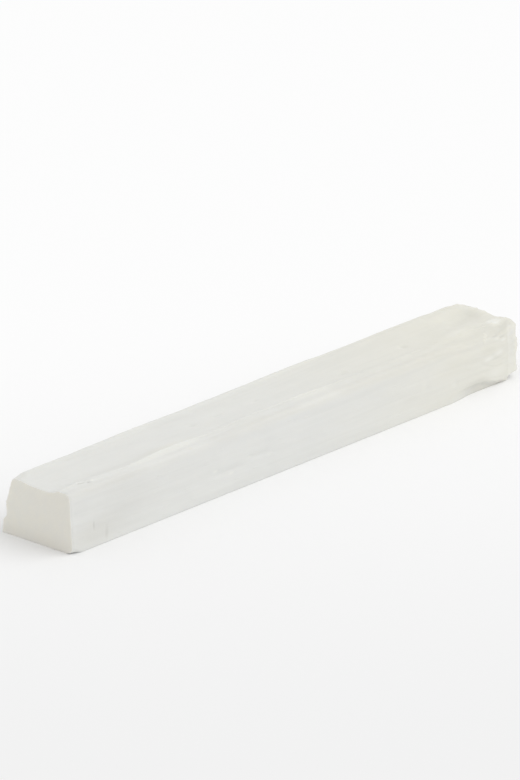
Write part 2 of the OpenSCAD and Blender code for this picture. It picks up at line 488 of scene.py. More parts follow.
    def torn_top(self, x: Array, y: Array) -> Array:
        """Return the depth torn out of the top: a scoop behind a low swelling.

        Args:
            x: Stations along the bar.
            y: Places across it.

        Returns:
            The depth, negative on the swelling.
        """
        tip = self.from_tip(x)
        scoop = bump(tip - 12, y - 2, 13, 7.5) * ease((tip - 1.5) / 5)
        return self.scoop_depth * scoop - 0.5 * bump(tip - 23, y + 7, 16, 5)

    def sawn_x(self, y: Array, z: Array) -> Array:
        """Return where the slightly twisted saw cut lies at a point of the section.

        Args:
            y: Places across the bar.
            z: Heights.

        Returns:
            The cut's x there.
        """
        twist = (y / self.back_y) * (2 * z / self.edge_height - 1)
        skew = self.cut_skew * (self.back_y - y) / self.foot_width
        return -self.half_length + skew + self.cut_twist * (1 + twist)

    def foot_back(self, z: Array) -> Array:
        """Return how far the break runs back under the foot at a height."""
        return self.foot_cut * ease(self.foot_cut_z + 0.5 - z)

    def broken_x(self, y: Array, z: Array) -> Array:
        """Return where the break lies at a point of the section, over the foot.

        Args:
            y: Places across the bar.
            z: Heights.

        Returns:
            The break's x there.
        """
        corner = self.corner_cut * np.clip((y - 7.5) / 6.5, 0, 1) ** 1.5
        ledge = 1.3 * ease((z - 13) / 0.8) + 0.9 * ease((z - 17.5) / 2)
        places, shares = zip(*self.ledge_profile)
        return self.half_length - corner - ledge * np.interp(y, places, shares)

    def splinter(self, y: Array, z: Array) -> Array:
        """Return the depth of the fibre bundles that broke off short.

        Args:
            y: Places across the bar.
            z: Heights.

        Returns:
            The depth behind the break.
        """
        share, _ = self.lattice.cell(y / self.bundle_width + 11, z / (0.8 * self.bundle_width) + 5)
        whole = mix(0.35, 1.0, ease((y + 10) / 8))
        return self.splinter_depth * share * whole * ease((z - 0.5) / 2)


@dataclass(frozen=True)
class Net:
    """The points of the long sides, as arrays of ring by point.

    Attributes:
        x: Stations of the rings along the bar, in one column.
        place: Places round the section, counted in pieces, in one row.
        y: Places across the bar.
        z: Heights.
    """

    x: Array
    place: Array
    y: Array
    z: Array


class Face(Enum):
    """The kinds of surface on the bar; each value is its material's place on the mesh."""

    CLEAVED = 0
    SAWN = 1
    BROKEN = 2


@dataclass(frozen=True)
class FineBar:
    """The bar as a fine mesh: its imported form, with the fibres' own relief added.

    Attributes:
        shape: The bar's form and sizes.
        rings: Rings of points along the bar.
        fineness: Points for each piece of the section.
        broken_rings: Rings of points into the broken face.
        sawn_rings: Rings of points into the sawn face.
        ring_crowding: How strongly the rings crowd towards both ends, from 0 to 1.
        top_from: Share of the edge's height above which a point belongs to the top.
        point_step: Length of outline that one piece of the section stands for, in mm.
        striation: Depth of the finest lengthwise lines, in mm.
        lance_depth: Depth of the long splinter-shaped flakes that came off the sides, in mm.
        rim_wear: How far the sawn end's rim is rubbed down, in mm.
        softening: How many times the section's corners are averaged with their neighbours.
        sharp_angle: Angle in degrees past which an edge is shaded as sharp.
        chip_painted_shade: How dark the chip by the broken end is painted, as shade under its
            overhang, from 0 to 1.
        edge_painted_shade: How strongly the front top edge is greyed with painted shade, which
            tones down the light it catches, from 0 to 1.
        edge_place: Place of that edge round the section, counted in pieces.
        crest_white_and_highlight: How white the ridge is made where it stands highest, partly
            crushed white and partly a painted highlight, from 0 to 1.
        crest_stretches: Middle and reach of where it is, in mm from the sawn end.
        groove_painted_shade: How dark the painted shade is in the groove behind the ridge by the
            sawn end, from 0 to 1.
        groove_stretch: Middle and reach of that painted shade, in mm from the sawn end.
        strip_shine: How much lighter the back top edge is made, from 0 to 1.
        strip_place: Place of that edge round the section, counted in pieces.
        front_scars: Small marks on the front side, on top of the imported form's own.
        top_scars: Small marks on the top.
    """

    shape: BarShape = BarShape()
    rings: int = 360
    fineness: int = 4
    broken_rings: int = 52
    sawn_rings: int = 16
    ring_crowding: float = 0.7
    top_from: float = 0.8
    point_step: float = 1.7
    striation: float = 0.02
    lance_depth: float = 0.14
    rim_wear: float = 0.2
    softening: int = 3
    sharp_angle: float = 38.0
    chip_painted_shade: float = 0.5
    edge_painted_shade: float = 0.37
    edge_place: float = 16.5
    crest_white_and_highlight: float = 0.6
    crest_stretches: Pairs = ((45, 13), (110, 8))
    groove_painted_shade: float = 0.35
    groove_stretch: Range = (32, 16)
    strip_shine: float = 0.35
    strip_place: float = 32.7
    front_scars: Marks = (
        # Nicks by the sawn end
        Mark(9.8, 7.0, 0.8, 2.4, 0.25, -0.3),
        Mark(15.6, 3.0, 1.2, 3.6, 0.2, -0.25),
        # Two bruises, and over the chip a cluster of flakes, nicks and stain
        Mark(158.5, 9.8, 2.6, 3.0, 0.1, 0.4),
        Mark(172.7, 6.2, 2.2, 2.2, 0.2, 0.4),
        Mark(188.3, 10.1, 3.6, 1.7, -0.3, 0.7),
        Mark(191.1, 10.6, 3.6, 1.7, -0.1, 0.3),
        Mark(193.8, 11.1, 3.6, 1.7, -0.3, 0.7),
        Mark(189.2, 13.4, 7.0, 2.4, 0.0, -0.3, 1.2),
        Mark(192.0, 9.4, 5.0, 0.7, 0.3, -0.4),
        Mark(187.3, 17.2, 0.6, 2.0, -0.4, 1.0),
        Mark(192.6, 17.0, 2.4, 0.5, 0.2, -0.4),
        Mark(195.6, 16.1, 2.4, 0.5, 0.2, -0.4),
        Mark(193.2, 15.9, 2.2, 0.8, -0.2, 0.9),
        Mark(196.2, 15.0, 2.2, 0.8, -0.2, 0.9),
        # Broad patches by both ends: bright, dirty or stained, and three of painted shade
        Mark(193.0, 4.5, 9.0, 4.0, 0.0, 0.5),
        # Painted shade: the front by the sawn end darker, as where less light falls
        Mark(24.0, 10.0, 32.0, 16.0, 0.0, -0.38),
        # Painted shade at the front's foot by the sawn end, with a yellow stain
        Mark(8.0, 4.0, 22.0, 8.0, 0.0, -0.35, 0.5),
        Mark(184.0, 1.0, 18.0, 3.0, 0.0, -0.1, -1.2),
        Mark(201.0, 11.0, 4.0, 9.0, 0.0, -0.3, -0.8),
        # Painted shade on the front towards the broken end, with a yellow stain
        Mark(172.0, 12.5, 14.0, 6.0, 0.0, -0.25, 0.7),
        # Small white nicks in the sawn half
        Mark(63.0, 8.8, 1.6, 0.9, 0.2, 0.7),
        Mark(70.0, 6.2, 2.2, 0.9, 0.2, 0.6),
        Mark(78.0, 9.2, 1.8, 0.8, 0.2, 0.6),
        Mark(87.0, 7.8, 2.4, 0.8, 0.2, 0.5),
    )
    top_scars: Marks = (
        # Three nicks and a crushed flake by the sawn end, and a nick further on
        Mark(8.7, 4.8, 1.6, 0.8, 0.5, -0.75),
        Mark(10.1, 4.4, 1.6, 0.8, 0.5, -0.75),
        Mark(11.6, 3.6, 1.6, 0.8, 0.5, -0.75),
        Mark(13.3, 3.6, 1.2, 0.8, -0.3, 1.2),
        Mark(96.4, 15.5, 1.2, 0.8, 0.4, -0.5),
        # Patches and two flakes by the broken end, and a stain in the groove
        Mark(198.6, 5.6, 4.6, 3.4, -0.3, 2.0),
        Mark(201.0, 0.6, 4.5, 3.8, 0.0, 0.1, -1.2),
        Mark(50.0, 8.0, 16.0, 3.0, 0.0, 0.0, 1.6),
        Mark(188.5, 1.2, 0.8, 1.0, -0.3, 0.9),
        Mark(189.6, 2.2, 0.8, 1.0, -0.3, 0.7),
        Mark(183.5, 16.5, 8.0, 5.0, 0.0, -0.25, 0.8),
        Mark(181.5, 7.0, 9.0, 4.5, -0.1, 0.45),
        Mark(185.8, 24.6, 3.0, 2.0, 0.1, 0.0, 1.0),
        Mark(190.5, 15.5, 11.0, 6.0, 0.0, -0.1, 1.0),
    )

    def stations(self) -> Array:
        """Return the rings' places along the bar, closer together at both ends.

        Returns:
            The stations, from the sawn end to the tip.
        """
        u = np.linspace(0, 1, self.rings)
        crowded = u - self.ring_crowding * np.sin(2 * np.pi * u) / (2 * np.pi)
        return -self.shape.half_length + self.shape.bar_length * crowded

    def outline(self, x: Array) -> Net:
        """Return every ring's points before relief.

        Args:
            x: Stations along the bar.

        Returns:
            The points.
        """
        lines = self.shape.section(x)
        ys, zs, places, start = [], [], [], 0
        for (y0, z0, pieces), (y1, z1, _) in zip(lines, lines[1:] + lines[:1]):
            t = np.arange(pieces * self.fineness) / (pieces * self.fineness)
            y0, y1, z0, z1 = (np.broadcast_to(v, x.shape)[:, None] for v in (y0, y1, z0, z1))
            ys.append(mix(y0, y1, t))
            zs.append(mix(z0, z1, t))
            places.append(start + t * pieces)
            start += pieces
        return Net(x[:, None], np.concatenate(places)[None, :], np.hstack(ys), np.hstack(zs))

    def lances(self, x: Array, s: Array) -> Array:
        """Return the long flakes that came off the sides, as a depth from 0 to 1.

        Args:
            x: Stations along the bar, as a column.
            s: Places round the section in mm, as a row.

        Returns:
            Depth of ring by point: flat floors with thin edges that taper to both ends.
        """
        noise = self.shape.lattice.noise
        drift = 1.1 * noise(x / 45 + 3, 9)
        height = noise(x / 34 + 80, (s + drift) / 2.3) + 0.35 * noise(x / 9, s / 1.1 + 50)
        return ease((height - 0.36) / 0.07)

    def marks(self, net: Net) -> tuple[Array, Array, Array]:
        """Return what the marks of both visible sides do at each point.

        Args:
            net: The points.

        Returns:
            Depth in mm, tone and stain, of ring by point.
        """
        shape, y, z = self.shape, net.y, net.z
        along = shape.from_sawn(net.x)
        on_top = z > self.top_from * shape.edge_height
        on_front = y < shape.front_y + 1
        depth, tone, stain = np.zeros_like(y), np.zeros_like(y), np.zeros_like(y)
        sides = (
            (shape.front_marks + self.front_scars, z, on_front),
            (shape.top_marks + self.top_scars, y - shape.front_y, on_top),
        )
        for side, across, here in sides:
            for mark in side:
                reach = mark.reach(along, across) * here
                depth += shape.nick_depth * mark.share * reach
                tone += mark.tone * reach
                stain += mark.stain * reach
        return depth, tone, stain

    def edge_tones(self, net: Net) -> Array:
        """Return the tone of both top edges, the ridge's crest and groove, and the chip, most of it
        painted shade and highlight.

        Args:
            net: The points.

        Returns:
            Tone of ring by point, from dusty at -1 to crushed white at 1.
        """
        shape, away = self.shape, self.shape.from_sawn(net.x)
        on_top = net.z > 0.88 * shape.edge_height
        behind_crest = net.y - shape.ridge_place(net.x)
        # The crest is whitened on two stretches: partly crushed white, partly a painted highlight.
        along_crest = np.maximum(*(plateau(away - at, reach) for at, reach in self.crest_stretches))
        crest = self.crest_white_and_highlight * along_crest * band(behind_crest + 1.0, 2.4) * on_top
        # Painted shade in the groove behind the crest, by the sawn end.
        groove_shade_reach = plateau(away - self.groove_stretch[0], self.groove_stretch[1])
        groove = self.groove_painted_shade * groove_shade_reach * band(behind_crest - 4.0, 3.8) * on_top
        # Painted shade along the front top edge, less on the crest's whitened stretches.
        bevel = shape.bevelled(net.x) * ease(shape.from_tip(net.x) / 6)
        off_edge = np.abs(net.place - self.edge_place - 1.2 * bevel) / (2.4 + 2.2 * bevel)
        edge_shade = self.edge_painted_shade * (1 - 0.7 * along_crest) * ease(1.6 * (1 - off_edge))
        strip = self.strip_shine * band(net.place - self.strip_place, 2.4)
        # Painted shade in the chip by the broken end, as under its overhang.
        below_chip_top = ease(1.5 * shape.chipped(net.x) * shape.chip_height - net.z)
        in_chip = (net.y < shape.front_y + 2) * below_chip_top * shape.chip_open(net.x)
        return crest + strip - groove - edge_shade - self.chip_painted_shade * in_chip

    def relief(self, net: Net) -> Array:
        """Return the depth cut into the surface by waves, the break and the fibres.

        Args:
            net: The points.

        Returns:
            Depth of ring by point, in mm.
        """
        shape, noise = self.shape, self.shape.lattice.noise
        x, place, y, z = net.x, net.place, net.y, net.z
        rough = 1 + 1.6 * shape.torn(x)
        calm = mix(shape.front_calm, 1.0, ease((y - shape.front_y) / 2))
        wave = noise(x / shape.wave_length, 1.5 * place / shape.wave_width)
        flake = noise(x / 7 + 40, 0.9 * place)
        depth = 0.5 * shape.wave_depth * rough * calm * (wave + 0.5 * flake)
        on_top = z > self.top_from * shape.edge_height
        depth = depth + np.where(on_top, shape.torn_top(x, y), 0)
        on_back = ease((y - 10) / 2) * (z < 0.9 * shape.edge_height)
        s = place * self.point_step
        fibres = noise(x / 70 + 5, s / 0.55) + 0.6 * noise(x / 24 + 7, s / 0.9 + 31)
        depth = depth + self.striation * rough * calm * (1 + on_back) * fibres
        share = 0.25 * calm + 1.2 * on_back + 0.6 * shape.torn(x)
        return depth + self.lance_depth * share * self.lances(x, s)

    def softened(self, net: Net) -> Net:
        """Soften the sections' corners, apart from the flat underside's.

        Args:
            net: The points.

        Returns:
            The moved points.
        """
        y, z = net.y, net.z
        for _ in range(self.softening):
            soft = ease(z / self.shape.calm_foot)
            y = mix(y, (np.roll(y, 1, 1) + 2 * y + np.roll(y, -1, 1)) / 4, soft)
            z = mix(z, (np.roll(z, 1, 1) + 2 * z + np.roll(z, -1, 1)) / 4, soft)
        return replace(net, y=y, z=z)

    def broken_off(self, net: Net) -> Array:
        """Return where the points lie along the bar once one end is sawn and one snapped.

        Args:
            net: The points.

        Returns:
            Places along the bar, of ring by point.
        """
        shape, x, y, z = self.shape, net.x, net.y, net.z
        away, tip = shape.from_sawn(x), shape.from_tip(x)
        return (
            x
            + ease(1 - away / 20) * (shape.sawn_x(y, z) + shape.half_length)
            + shape.torn(x) * (shape.broken_x(y, z) - shape.half_length)
            - ease(1 - tip / 10) * shape.foot_back(z)
            - 0.3 * ease(1 - tip / 4) * shape.splinter(y, z)
        )

    def skin(self) -> tuple[Array, Array, Array]:
        """Return the long sides.

        Returns:
            Points as ring by point by (x, y, z), and the tone and stain at each point.
        """
        net = self.softened(self.outline(self.stations()))
        dy = np.roll(net.y, -self.fineness, 1) - np.roll(net.y, self.fineness, 1)
        dz = np.roll(net.z, -self.fineness, 1) - np.roll(net.z, self.fineness, 1)
        length = np.hypot(dy, dz)
        depth, tone, stain = self.marks(net)
        depth = depth + self.relief(net)
        rim = ease(1 - self.shape.from_sawn(net.x) / 1.2)
        depth = depth * ease((net.z - self.shape.calm_foot) / 2)
        depth = depth + self.rim_wear * rim * rim * ease(net.z / 2)
        net = replace(net, y=net.y + dz / length * depth, z=net.z - dy / length * depth)
        tone = tone + self.edge_tones(net)
        return np.stack([self.broken_off(net), net.y, net.z], 2), tone, stain

    def face_rings(self, rim: Array, count: int, power: float) -> tuple[Array, Array, Array]:
        """Return an end face's inner rings, drawn in from its rim.

        Args:
            rim: The rim's points, as (x, y, z).
            count: How many rings to draw.
            power: 1 spaces them evenly, and less crowds them towards the rim.

        Returns:
            y and z as arrays of ring by point, and each ring's size as a share of the rim.
        """
        size = 1 - (np.arange(1, count + 1) / (count + 1)) ** (1 / power)
        core_y, core_z = self.shape.core
        return (
            mix(core_y, rim[None, :, 1], size[:, None]),
            mix(core_z, rim[None, :, 2], size[:, None]),
            size[:, None],
        )

    def broken_face(self, rim: Array) -> Array:
        """Return the broken face's rings, stepped where fibre bundles snapped short.

        Args:
            rim: The last ring of the skin.

        Returns:
            Points as ring by point by (x, y, z).
        """
        shape = self.shape
        y, z, size = self.face_rings(rim, self.broken_rings, 0.9)
        bundles = mix(1.0, 0.3, size**6) * shape.splinter(y, z)
        fine, gap = shape.lattice.cell(y / 1.1 + 40, z / 0.8 + 70)
        hair, _ = shape.lattice.cell(y / 0.42 + 90, z / 0.36 + 20)
        inner = ease((1 - size) / 0.06)
        ragged = inner * (0.75 * fine + 0.3 * hair + 0.25 * ease(1 - gap / 0.2))
        return np.stack([shape.broken_x(y, z) - shape.foot_back(z) - bundles - ragged, y, z], 2)

    def sawn_face(self, rim: Array) -> Array:
        """Return the sawn face's rings.

        Args:
            rim: The first ring of the skin.

        Returns:
            Points as ring by point by (x, y, z).
        """
        y, z, _ = self.face_rings(rim, self.sawn_rings, 0.6)
        return np.stack([self.shape.sawn_x(y, z), y, z], 2)

    def mesh(self) -> tuple[bpy.types.Mesh, int]:
        """Build the closed mesh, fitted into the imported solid's box.

        Returns:
            The mesh, and its number of triangles.
        """
        skin, tone, stain = self.skin()
        broken, sawn = self.broken_face(skin[-1]), self.sawn_face(skin[0])
        rows = np.concatenate([sawn[::-1], skin, broken])
        around = rows.shape[1]
        core = np.array(self.shape.core)
        middles = np.array([
            [self.shape.sawn_x(*core), *core],
            [broken[-1, :, 0].mean(), *core],
        ])
        raw = np.concatenate([rows.reshape(-1, 3), middles])
        low, high = (np.array(corner) for corner in CAD_BOX)
        points = low + (raw - raw.min(0)) / (raw.max(0) - raw.min(0)) * (high - low)
        faces, kinds = self.faces(len(rows), around)
        data = bpy.data.meshes.new("selenite_stick_fine")
        data.from_pydata(points.tolist(), [], faces)
        data.polygons.foreach_set("material_index", kinds)
        data.polygons.foreach_set("use_smooth", np.ones(len(faces), bool))
        data.update()
        data.set_sharp_from_angle(angle=math.radians(self.sharp_angle))
        before = np.zeros(self.sawn_rings * around)
        after = np.zeros(self.broken_rings * around + 2)
        values = {
            "tone": np.concatenate([before, tone.ravel(), after]),
            "stain": np.concatenate([before, stain.ravel(), after]),
            "torn": self.shape.torn(raw[:, 0]),
        }
        for name, numbers in values.items():
            data.attributes.new(name, "FLOAT", "POINT").data.foreach_set("value", numbers)
        return data, 2 * around * len(rows)

    def faces(self, rows: int, around: int) -> tuple[list[tuple[int, ...]], Array]:
        """Return the polygons that join all rings, and each one's kind.

        Args:
            rows: Rings in all, from the middle of the sawn face to that of the broken one.
            around: Points in one ring.

        Returns:
            The polygons, and the value of Face for each.
        """
        grid = np.arange(rows * around).reshape(rows, around)
        nxt = np.roll(grid, -1, 1)
        quads = np.stack([grid[:-1], grid[1:], nxt[1:], nxt[:-1]], 2).reshape(-1, 4)
        first = self.sawn_rings * around
        last = (self.sawn_rings + self.rings - 1) * around
        number = np.arange(len(quads))
        kinds = np.where(number < first, Face.SAWN.value, Face.CLEAVED.value)
        kinds = np.where(number >= last, Face.BROKEN.value, kinds)
        sawn_middle, broken_middle = rows * around, rows * around + 1
        closing = [(sawn_middle, int(a), int(b)) for a, b in zip(grid[0], nxt[0])]
        closing += [(broken_middle, int(b), int(a)) for a, b in zip(grid[-1], nxt[-1])]
        ends = [Face.SAWN.value] * around + [Face.BROKEN.value] * around
        return [tuple(q) for q in quads.tolist()] + closing, np.concatenate([kinds, ends])


# ---------------------------------------------------------------- shader maths


Value = Union["Wire", float]


class Wire:
    """One output socket of a graph's nodes, with arithmetic that adds nodes."""

    def __init__(self, graph: "Graph", socket: Optional[bpy.types.NodeSocket]) -> None:
        """Wrap a socket.

        Args:
            graph: The graph that the socket is in.
            socket: The output socket, or None for a node that has none.
        """
        self.graph = graph
        self.socket = socket

    def _math(self, operation: str, left: Value, right: Value) -> "Wire":
        """Return a Math node's result for two values."""
        return self.graph.node("ShaderNodeMath", {"operation": operation}, {0: left, 1: right})

    def __add__(self, other: Value) -> "Wire":
        """Return self + other."""
        return self._math("ADD", self, other)

    def __radd__(self, other: Value) -> "Wire":
        """Return other + self."""
        return self._math("ADD", other, self)

    def __sub__(self, other: Value) -> "Wire":
        """Return self - other."""
        return self._math("SUBTRACT", self, other)

    def __rsub__(self, other: Value) -> "Wire":
        """Return other - self."""
        return self._math("SUBTRACT", other, self)

    def __mul__(self, other: Value) -> "Wire":
        """Return self * other."""
        return self._math("MULTIPLY", self, other)

    def __rmul__(self, other: Value) -> "Wire":
        """Return other * self."""
        return self._math("MULTIPLY", other, self)

    def either(self, other: Value) -> "Wire":
        """Return the larger of self and other."""
        return self._math("MAXIMUM", self, other)

    def step(self, low: float, high: float) -> "Wire":
        """Return a smooth step.

        Args:
            low: Where it is 0.
            high: Where it is 1, which may lie under low.

        Returns:
            The step.
        """
        return self.graph.node(
            "ShaderNodeMapRange",
            {"interpolation_type": "SMOOTHSTEP"},
            {"Value": self, "From Min": low, "From Max": high},
        )

    def axis(self, name: str) -> "Wire":
        """Return this vector's X, Y or Z."""
        return self.graph.node("ShaderNodeSeparateXYZ", {}, {0: self}, name)

    def stretched(self, scale: Triple) -> "Wire":
        """Return this vector times a scale for each axis.

        Args:
            scale: Factors for X, Y and Z.

        Returns:
            The scaled vector.
        """
        return self.graph.node(
            "ShaderNodeVectorMath", {"operation": "MULTIPLY"}, {0: self, 1: scale}
        )


class Graph:
    """The node tree of one material or world, built from an empty one."""

    def __init__(self, owner: Union[bpy.types.Material, bpy.types.World]) -> None:
        """Empty the owner's node tree.

        Args:
            owner: The new material or world.
        """
        owner.use_nodes = True
        self.owner = owner
        self.tree = owner.node_tree
        self.tree.nodes.clear()

    @staticmethod
    def _find(sockets: Any, key: Union[int, str]) -> bpy.types.NodeSocket:
        """Return a socket by place, or by identifier and then name.

        Args:
            sockets: A node's inputs or outputs.
            key: The place, identifier or name.

        Returns:
            The socket.
        """
        if isinstance(key, int):
            return sockets[key]
        named = [s for s in sockets if s.identifier == key] or [s for s in sockets if s.name == key]
        return named[0]

    def node(
        self,
        kind: str,
        settings: dict[str, Any],
        inputs: dict[Union[int, str], Any],
        output: Union[int, str] = 0,
    ) -> Wire:
        """Add a node and return one of its outputs.

        Args:
            kind: The node's type, as Blender names it.
            settings: The node's own settings, such as a Math node's operation, set first.
            inputs: Values or wires for its sockets, by place, identifier or name.
            output: Which output to return.

        Returns:
            The output, or an empty Wire from a node that has none.
        """
        node = self.tree.nodes.new(kind)
        for key, value in settings.items():
            setattr(node, key, value)
        for key, value in inputs.items():
            socket = self._find(node.inputs, key)
            if isinstance(value, Wire):
                self.tree.links.new(value.socket, socket)
            elif socket.type == "RGBA":
                socket.default_value = (*value, 1.0)
            else:
                socket.default_value = value
        return Wire(self, self._find(node.outputs, output) if node.outputs else None)

    @cached_property
    def place(self) -> Wire:
        """The object's own coordinates, in metres."""
        return self.node("ShaderNodeTexCoord", {}, {}, "Object")

    def attribute(self, name: str) -> Wire:
        """Return a number stored at the mesh's points."""
        return self.node("ShaderNodeAttribute", {"attribute_name": name}, {}, "Fac")

    def noise(self, grain: Triple, detail: float, roughness: float = 0.5) -> Wire:
        """Return noise from about 0 to 1.

        Args:
            grain: Features per metre, along each axis.
            detail: How many finer layers are laid over the first.
            roughness: How strong each layer is against the one before.

        Returns:
            The noise.
        """
        return self.node(
            "ShaderNodeTexNoise",
            {"noise_dimensions": "3D"},
            {
                "Vector": self.place.stretched(grain),
                "Scale": 1.0,
                "Detail": detail,
                "Roughness": roughness,
            },
            "Fac",
        )

    def blend(self, factor: Value, first: Any, second: Any, mode: str = "MIX") -> Wire:
        """Return a colour between two, or one combined with another.

        Args:
            factor: How much of the second colour, from 0 to 1.
            first: A colour or a wire.
            second: A colour or a wire.
            mode: The Mix node's blend type.

        Returns:
            The mixed colour.
        """
        return self.node(
            "ShaderNodeMix",
            {"data_type": "RGBA", "blend_type": mode},
            {"Factor_Float": factor, "A_Color": first, "B_Color": second},
            "Result_Color",
        )

    def darkened(self, colour: Any, shade: Wire) -> Wire:
        """Return a colour times a share, where 1 leaves it as it is."""
        grey = self.node("ShaderNodeCombineColor", {}, {0: shade, 1: shade, 2: shade})
        return self.blend(1.0, colour, grey, "MULTIPLY")

    def bump(self, height: Wire, distance: float) -> Wire:
        """Return a normal that follows a height.

        Args:
            height: How high each point stands, counted in distances.
            distance: One distance, in metres.

        Returns:
            The normal.
        """
        return self.node(
            "ShaderNodeBump", {}, {"Height": height, "Distance": distance, "Strength": 1.0}
        )

    def end(self, kind: str, shader: Wire) -> Any:
        """End the graph in an output node of this kind and return the material or world."""
        self.node(kind, {}, {"Surface": shader})
        return self.owner


# ---------------------------------------------------------------- finishes


@dataclass(frozen=True)
class Gypsum:
    """What every face of the stone shares: a dense white body that light sinks into.

    Attributes:
        body: Colour of clean gypsum.
        warm: Colour of the iron-stained gypsum towards the broken end.
        ior: How strongly its surface bends light.
        depth: How far light travels inside, in metres.
        spread: Share of that depth which red, green and blue reach.
        sinking: Share of the light that goes in.
    """

    body: Colour = (0.742, 0.746, 0.722)
    warm: Colour = (0.76, 0.75, 0.675)
    ior: float = 1.52
    depth: float = 0.0012
    spread: Colour = (1.0, 0.96, 0.88)
    sinking: float = 0.35

    def material(
        self, graph: Graph, colour: Any, roughness: Value, normal: Wire
    ) -> bpy.types.Material:
        """End a finish in the shader that they all share.

        Args:
            graph: The finish's graph.
            colour: Base colour.
            roughness: Surface roughness.
            normal: Normal from a bump.

        Returns:
            The finished material.
        """
        shader = graph.node(
            "ShaderNodeBsdfPrincipled",
            {"subsurface_method": "RANDOM_WALK"},
            {
                "Base Color": colour,
                "Roughness": roughness,
                "Normal": normal,
                "IOR": self.ior,
                "Subsurface Weight": self.sinking,
                "Subsurface Radius": self.spread,
                "Subsurface Scale": self.depth,
            },
            "BSDF",
        )
        return graph.end("ShaderNodeOutputMaterial", shader)


@dataclass(frozen=True)
class CleavedFinish(Gypsum):
    """The long sides: silky, with fine fibres, cloudy bands and bruised edges, and with the painted
    shade and highlight that the mesh's tone carries.

    A grain counts features per metre, along the fibres and twice across them.

    Attributes:
        bruise_and_highlight: Colour where the tone is raised: flakes and ledges crushed white, and
            a painted highlight on the ridge's crest.
        dust_and_shade: Colour where the tone is lowered: dirt in nicks, and painted shade on the
            front top edge, in the groove, in the chip and on some broad patches.
        streak: How much the fibre bands darken the colour.
        mottle: How much cloudy patches in the stone darken it.
        hair_grain: Grain of the finest fibres.
        thread_grain: Grain of the fibre bands.
        cloud_grain: Grain of the iron's clouds.
        patch_grain: Grain of the cloudy patches.
        flake_grain: Grain of the tiny loose flakes.
        top_zone: Heights in metres between which the front gives way to the top.
        warming: Places along X in metres where the iron starts and is at its full.
        top_warming: The same for the top's own share of iron.
        bump: Height of one unit of the fibres' bump, in metres.
    """

    bruise_and_highlight: Colour = (0.82, 0.819, 0.765)
    dust_and_shade: Colour = (0.56, 0.55, 0.51)
    streak: float = 0.02
    mottle: float = 0.012
    hair_grain: Triple = (45, 2300, 2300)
    thread_grain: Triple = (16, 620, 620)
    cloud_grain: Triple = (24, 95, 95)
    patch_grain: Triple = (80, 170, 170)
    flake_grain: Triple = (150, 900, 900)
    top_zone: Range = (0.016, 0.0185)
    warming: Range = (-0.005, 0.095)
    top_warming: Range = (-0.045, 0.03)
    bump: float = 0.00005

    def build(self) -> bpy.types.Material:
        """Dress the long sides.

        Returns:
            The material.
        """
        g = Graph(bpy.data.materials.new("satin_gypsum"))
        hair = g.noise(self.hair_grain, 2.0)
        thread = g.noise(self.thread_grain, 3.0)
        cloud = g.noise(self.cloud_grain, 4.0, 0.6)
        patch = g.noise(self.patch_grain, 2.0)
        flakes = g.noise(self.flake_grain, 3.0, 0.65).step(0.63, 0.74)
        torn, tone, stain = g.attribute("torn"), g.attribute("tone"), g.attribute("stain")
        along, on_top = g.place.axis("X"), g.place.axis("Z").step(*self.top_zone)
        drift = along.step(*self.warming) * 0.75
        drift = drift + on_top * (along.step(*self.top_warming) * 0.2 + 0.12)
        clouded = cloud.step(0.55, 0.75) * (0.1 + 0.15 * on_top)
        warmth = drift + torn * 0.1 + stain * 0.3 + clouded
        colour = g.blend(warmth, self.body, self.warm)
        shade = 1.0 - self.streak * (1.0 - thread.step(0.3, 0.62)) - 0.4 * self.streak * hair
        colour = g.darkened(colour, shade - self.mottle * patch.step(0.4, 0.6))
        # Raised tone whitens: crushed flakes and ledges, and a painted highlight on the ridge's
        # crest.
        white = (tone + flakes * cloud.step(0.5, 0.62) * 0.3).step(0.0, 1.2)
        colour = g.blend(white, colour, self.bruise_and_highlight)
        # Lowered tone darkens: dirt in nicks, and painted shade on the front top edge, in the
        # groove, in the chip and on some broad patches.
        colour = g.blend((tone * -1.0).step(0.0, 1.4), colour, self.dust_and_shade)
        normal = g.bump(0.5 * hair + 1.1 * thread + 0.8 * flakes, self.bump)
        return self.material(g, colour, 0.4 + 0.16 * thread + 0.12 * white, normal)


